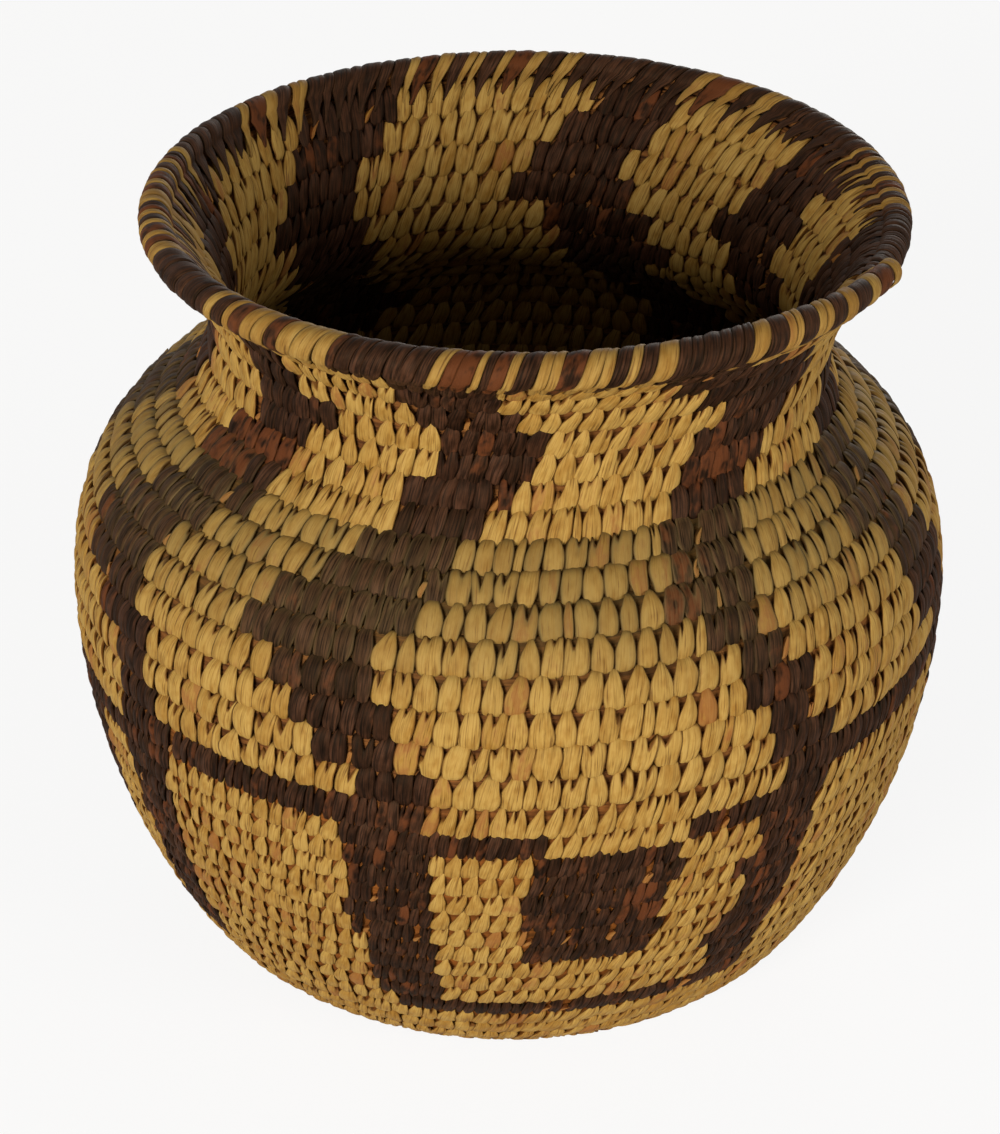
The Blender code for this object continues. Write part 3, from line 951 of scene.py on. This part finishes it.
def wraps(rows, random):
    """Corner, lay and tone arrays for every wrap of the rim."""
    count = len(rows)

    def pick(low, high):
        return random.uniform(low, high, count)[:, None]

    turns, width, kind = (rows[:, i][:, None] for i in range(3))
    radius = rim_thickness(turns) / 2 + pick(-0.1, 0.12)
    out, up, run = wrap_path(radius)
    column = np.linspace(-1, 1, WRAP_COLUMNS)[None, :, None]
    girth = girth_at(rows[:, 0])[:, None, None]
    outer_fall = smooth((-run - radius * 2.0) / OUTER_FOOT_MM)
    inner_fall = smooth((run - radius * 2.0) / INNER_FOOT_MM)
    taper = 1.05 - 0.42 * outer_fall - 0.72 * inner_fall
    lean = WRAP_LEAN + pick(-0.06, 0.08)
    slide = lean * run + 0.28 * np.clip(run - radius * 1.2, 0, None) + pick(-0.25, 0.25) * outer_fall
    slide = np.minimum(slide, TAIL_SHARE * (LAST_TURN - turns) * girth[:, :, 0])
    cross = column * (width / 2 * taper)[:, None, :] + slide[:, None, :]
    crease = 0.09 * pick(0.2, 1)[:, :, None] * np.sin(column * 5 + pick(0, 6)[:, :, None])
    sunk = np.abs(column) ** 3.5 * 0.42 + crease
    shrink = 1 - sunk / np.hypot(out, up)[:, None, :]
    shape = (count, WRAP_COLUMNS, out.shape[1])
    place, rise, away = (np.broadcast_to(a, shape).reshape(count, -1) for a in (
        turns[:, :, None] + cross / girth, up[:, None, :] * shrink, out[:, None, :] * shrink))
    middle, _, upward, outward, _ = coil_frame(np.minimum(place, LAST_TURN))
    points = middle + upward * rise[..., None] + outward * away[..., None]
    lay = np.zeros(points.shape)
    lay[..., 0] = np.broadcast_to(column * (width / 2)[:, :, None], shape).reshape(count, -1)
    lay[..., 1] = np.broadcast_to(run[:, None, :], shape).reshape(count, -1)
    lay[..., 2] = pick(0, 50)
    tone = np.zeros(points.shape[:2] + (4,))
    tone[..., 0] = np.where(kind == PALE, pick(-0.2, 0.45), pick(0.1, 0.9))
    rusty, claw, leaf = pick(0.75, 1.1), pick(0.1, 0.55), pick(0.1, 0.75)
    tone[..., 1] = np.where(kind == RED, rusty, np.where(kind == DARK, claw, leaf))
    tone[..., 2] = np.where(kind == PALE, 0.34, 0.05)
    # Painted shade: this border darkens the wrap's sides and its feet where they go under into the course
    # below.
    border = np.abs(column) ** 6 * 0.9 + 0.5 * (outer_fall + inner_fall)[:, None, :] ** 3
    tone[..., 3] = np.clip(np.broadcast_to(border, shape), 0, 1).reshape(count, -1)
    return points, lay, tone


def wrap_faces(count, steps):
    """Quads of each wrap: its outer skin and the chord that closes it underneath."""
    grid = np.arange(WRAP_COLUMNS * steps).reshape(WRAP_COLUMNS, steps)
    ahead = np.roll(grid, -1, 1)
    skin = np.stack([grid[:-1], grid[1:], ahead[1:], ahead[:-1]], -1).reshape(-1, 4)
    under = np.stack([ahead[0], ahead[-1], grid[-1], grid[0]], -1)
    start = (np.arange(count) * grid.size)[:, None, None]
    return (np.concatenate([skin, under]) + start).reshape(-1, 4).tolist()


# %% [markdown]
# The wraps are sewn on as the stitches were: all the pale ones in one mesh, all the dark in another.

# %% Sew the rim
def sew_rim():
    """Makes the two meshes of the rim and returns how many faces they have."""
    points, lay, tone = wraps(WRAPS, np.random.default_rng(21))
    steps = points.shape[1] // WRAP_COLUMNS
    total = 0
    for label, material, slot, dark in STRIPS:
        own = (WRAPS[:, 2] > PALE) == bool(dark)
        name = f"{label.replace('stitches', 'wraps')}_of_rim_coil"
        faces = wrap_faces(int(own.sum()), steps)
        arrays = [part[own].reshape(-1, part.shape[-1]) for part in (points, lay, tone)]
        make_piece(name, arrays[0], faces, material, arrays[1], arrays[2], ["rim_coil"])
        total += len(faces)
    return total


print("faces of the wraps:", sew_rim())

# %% [markdown]
# The photo doesn't show the base. Jars of this kind start from a small plaited knot: strips of yucca
# crossed over and under each other in a square, with the first coil sewn round it. Each strip here is
# a closed band that runs over the top of the knot and back underneath, and rises and dips as it
# crosses its neighbours.

# %% The start knot
KNOT_STRIPS = (-2.4, 0.0, 2.4)
KNOT_HALF = (4.3, 2.2)
KNOT_HEIGHT = 2.8
KNOT_STEPS = 48
BAND_SECTION = (
    (-1.12, 0.0), (-0.6, 0.22), (0.0, 0.28), (0.6, 0.22), (1.12, 0.0), (0.9, -0.3), (-0.9, -0.3),
)
KNOT_SQUARED = 0.4
WEAVE_MM = 0.3


def knot_strip(offset, phase, seed):
    """Corners and stitch data of one band of the knot, running left to right."""
    angle = np.arange(KNOT_STEPS) / KNOT_STEPS * math.tau
    far = KNOT_HALF[0] * squarish(np.cos(angle), KNOT_SQUARED)
    high = KNOT_HALF[1] * squarish(np.sin(angle), KNOT_SQUARED)
    weave = WEAVE_MM * np.cos(math.pi * far / KNOT_STRIPS[2] + phase)
    run = run_along(far, high)
    points, lay, tone = [], [], []
    for across, out in BAND_SECTION:
        beside = np.full(KNOT_STEPS, offset + across)
        lift = high + np.sign(high) * (weave + out)
        points.append(np.stack([far + np.cos(angle) * out, beside, lift + KNOT_HEIGHT], 1))
        lay.append(np.stack([np.full(KNOT_STEPS, across), run, np.full(KNOT_STEPS, seed * 9.0)], 1))
        # Painted shade: the alpha darkens each band's sides where the bands meet.
        tone.append(np.tile([0.4 + 0.1 * seed, 0.3, 0.1, abs(across) ** 4 * 0.5], (KNOT_STEPS, 1)))
    return [np.concatenate(part) for part in (points, lay, tone)]


def plaited_knot():
    """The six bands of the knot as one mesh: three each way, every other one turned over."""
    sides = len(BAND_SECTION)
    grid = np.arange(sides * KNOT_STEPS).reshape(sides, KNOT_STEPS)
    ahead, beside = np.roll(grid, -1, 1), np.roll(grid, -1, 0)
    quads = np.stack([grid, ahead, np.roll(ahead, -1, 0), beside], -1).reshape(-1, 4)
    parts, faces = [], []
    for index, offset in enumerate(KNOT_STRIPS):
        for turned_over in (False, True):
            phase = math.pi * (index + turned_over)
            points, lay, tone = knot_strip(offset, phase, 2 * index + turned_over)
            own = quads
            if turned_over:
                points, own = points[:, [1, 0, 2]], quads[:, ::-1]
            faces += (own + len(parts) * grid.size).tolist()
            parts.append((points, lay, tone))
    points, lay, tone = (np.concatenate(arrays) for arrays in zip(*parts))
    return make_piece(
        "plaited_start_knot", points, faces, YUCCA, lay, tone, ["start_knot"])


knot = plaited_knot()
print("strips in the start knot:", 2 * len(KNOT_STRIPS), "faces:", len(knot.data.polygons))

# %% [markdown]
# The jar stands on a plain pale floor under soft studio light. Seen directly, floor and background
# are near white, and the floor keeps the jar's shadow.

# %% Floor, world and lights
FLOOR_SIZE = 6.0
FLOOR_DROP = 0.0003
FLOOR_WHITE_SHARE = 0.88
AMBIENT_STRENGTH = 0.18


def floor_piece():
    """A square of pale paint that also shines a little to the camera, and so stays near white."""
    mesh = bpy.data.meshes.new("studio_floor")
    half = FLOOR_SIZE / 2
    corners = [(-half, -half, 0), (half, -half, 0), (half, half, 0), (-half, half, 0)]
    mesh.from_pydata(corners, [], [(0, 1, 2, 3)])
    material = emptied(bpy.data.materials.new("pale_floor_paint"))
    tree = material.node_tree
    paint = add(tree, "BsdfDiffuse", {"Color": "#f4f4f4"})
    white = add(tree, "Emission", {"Color": "#ffffff", "Strength": 1.0})
    seen = add(tree, "LightPath").outputs["Is Camera Ray"]
    share = add(tree, "Math", {0: seen, 1: FLOOR_WHITE_SHARE}, operation="MULTIPLY")
    mixed = add(tree, "MixShader", {0: share.outputs[0], 1: paint.outputs[0], 2: white.outputs[0]})
    add(tree, "OutputMaterial", {"Surface": mixed.outputs[0]})
    mesh.materials.append(material)
    floor = bpy.data.objects.new("studio_floor", mesh)
    bpy.context.scene.collection.objects.link(floor)
    floor.location.z = -FLOOR_DROP
    return floor


floor_piece()


def sky():
    """Soft light from all round, and white where the camera or a reflection looks past the jar."""
    world = emptied(bpy.data.worlds.new("studio"))
    tree = world.node_tree
    path = add(tree, "LightPath").outputs
    seen = path["Is Camera Ray"]
    for ray in ("Is Glossy Ray", "Is Transmission Ray"):
        seen = add(tree, "Math", {0: seen, 1: path[ray]}, operation="MAXIMUM").outputs[0]
    ambient = add(tree, "Background", {"Color": "#fffaf2", "Strength": AMBIENT_STRENGTH})
    backdrop = add(tree, "Background", {"Color": "#ffffff", "Strength": 1.0})
    mixed = add(tree, "MixShader", {0: seen, 1: ambient.outputs[0], 2: backdrop.outputs[0]})
    add(tree, "OutputWorld", {"Surface": mixed.outputs[0]})
    bpy.context.scene.world = world


def soft_light(name, place, target, size, power, colour):
    """A round lamp at a place, turned to its target."""
    lamp = bpy.data.lights.new(name, "AREA")
    lamp.shape, lamp.size, lamp.energy = "DISK", size, power
    lamp.color = linear(colour)[:3]
    light = bpy.data.objects.new(name, lamp)
    light.location = place
    light.rotation_euler = (Vector(target) - Vector(place)).to_track_quat("-Z", "Y").to_euler()
    bpy.context.scene.collection.objects.link(light)


sky()
MIDDLE = (0, 0, 0.09)
soft_light("key_light", (-0.74, -1.4, 0.45), MIDDLE, 0.62, 28, "#fffaf2")
soft_light("fill_light", (1.3, -0.9, 0.42), MIDDLE, 0.8, 14, "#fffaf2")
soft_light("back_light", (0.4, 1.5, 0.4), MIDDLE, 0.8, 7, "#fffaf2")
print("lamps:", len(bpy.data.lights))

# %% [markdown]
# The camera was found by fitting the jar's outline and its courses to the photo: 850 mm away,
# looking down by 30 degrees, with a long lens.

# %% Camera
CAMERA_DISTANCE = 0.850
CAMERA_PITCH = math.radians(30.242)
CAMERA_ROLL = math.radians(0.512)
CAMERA_TARGET = Vector((-0.001898, 0, 0.083932))
FOCAL_PIXELS = 3718.0
PHOTO_HEIGHT = 1134
SENSOR_MM = 36.0

camera = bpy.data.objects.new("photo_camera", bpy.data.cameras.new("photo_camera"))
camera.data.sensor_fit = "VERTICAL"
camera.data.sensor_height = SENSOR_MM
camera.data.lens = FOCAL_PIXELS / PHOTO_HEIGHT * SENSOR_MM
forward = Vector((0, math.cos(CAMERA_PITCH), -math.sin(CAMERA_PITCH)))
right = Vector((1, 0, 0))
upright = right.cross(forward)
turn_right = math.cos(CAMERA_ROLL) * right + math.sin(CAMERA_ROLL) * upright
turn_up = math.cos(CAMERA_ROLL) * upright - math.sin(CAMERA_ROLL) * right
camera.matrix_world = Matrix.Translation(CAMERA_TARGET - CAMERA_DISTANCE * forward) @ Matrix(
    (turn_right, turn_up, -forward)).transposed().to_4x4()
bpy.context.scene.collection.objects.link(camera)
bpy.context.scene.camera = camera
bpy.context.scene.view_settings.view_transform = "Standard"
print("lens in mm:", round(camera.data.lens, 1))
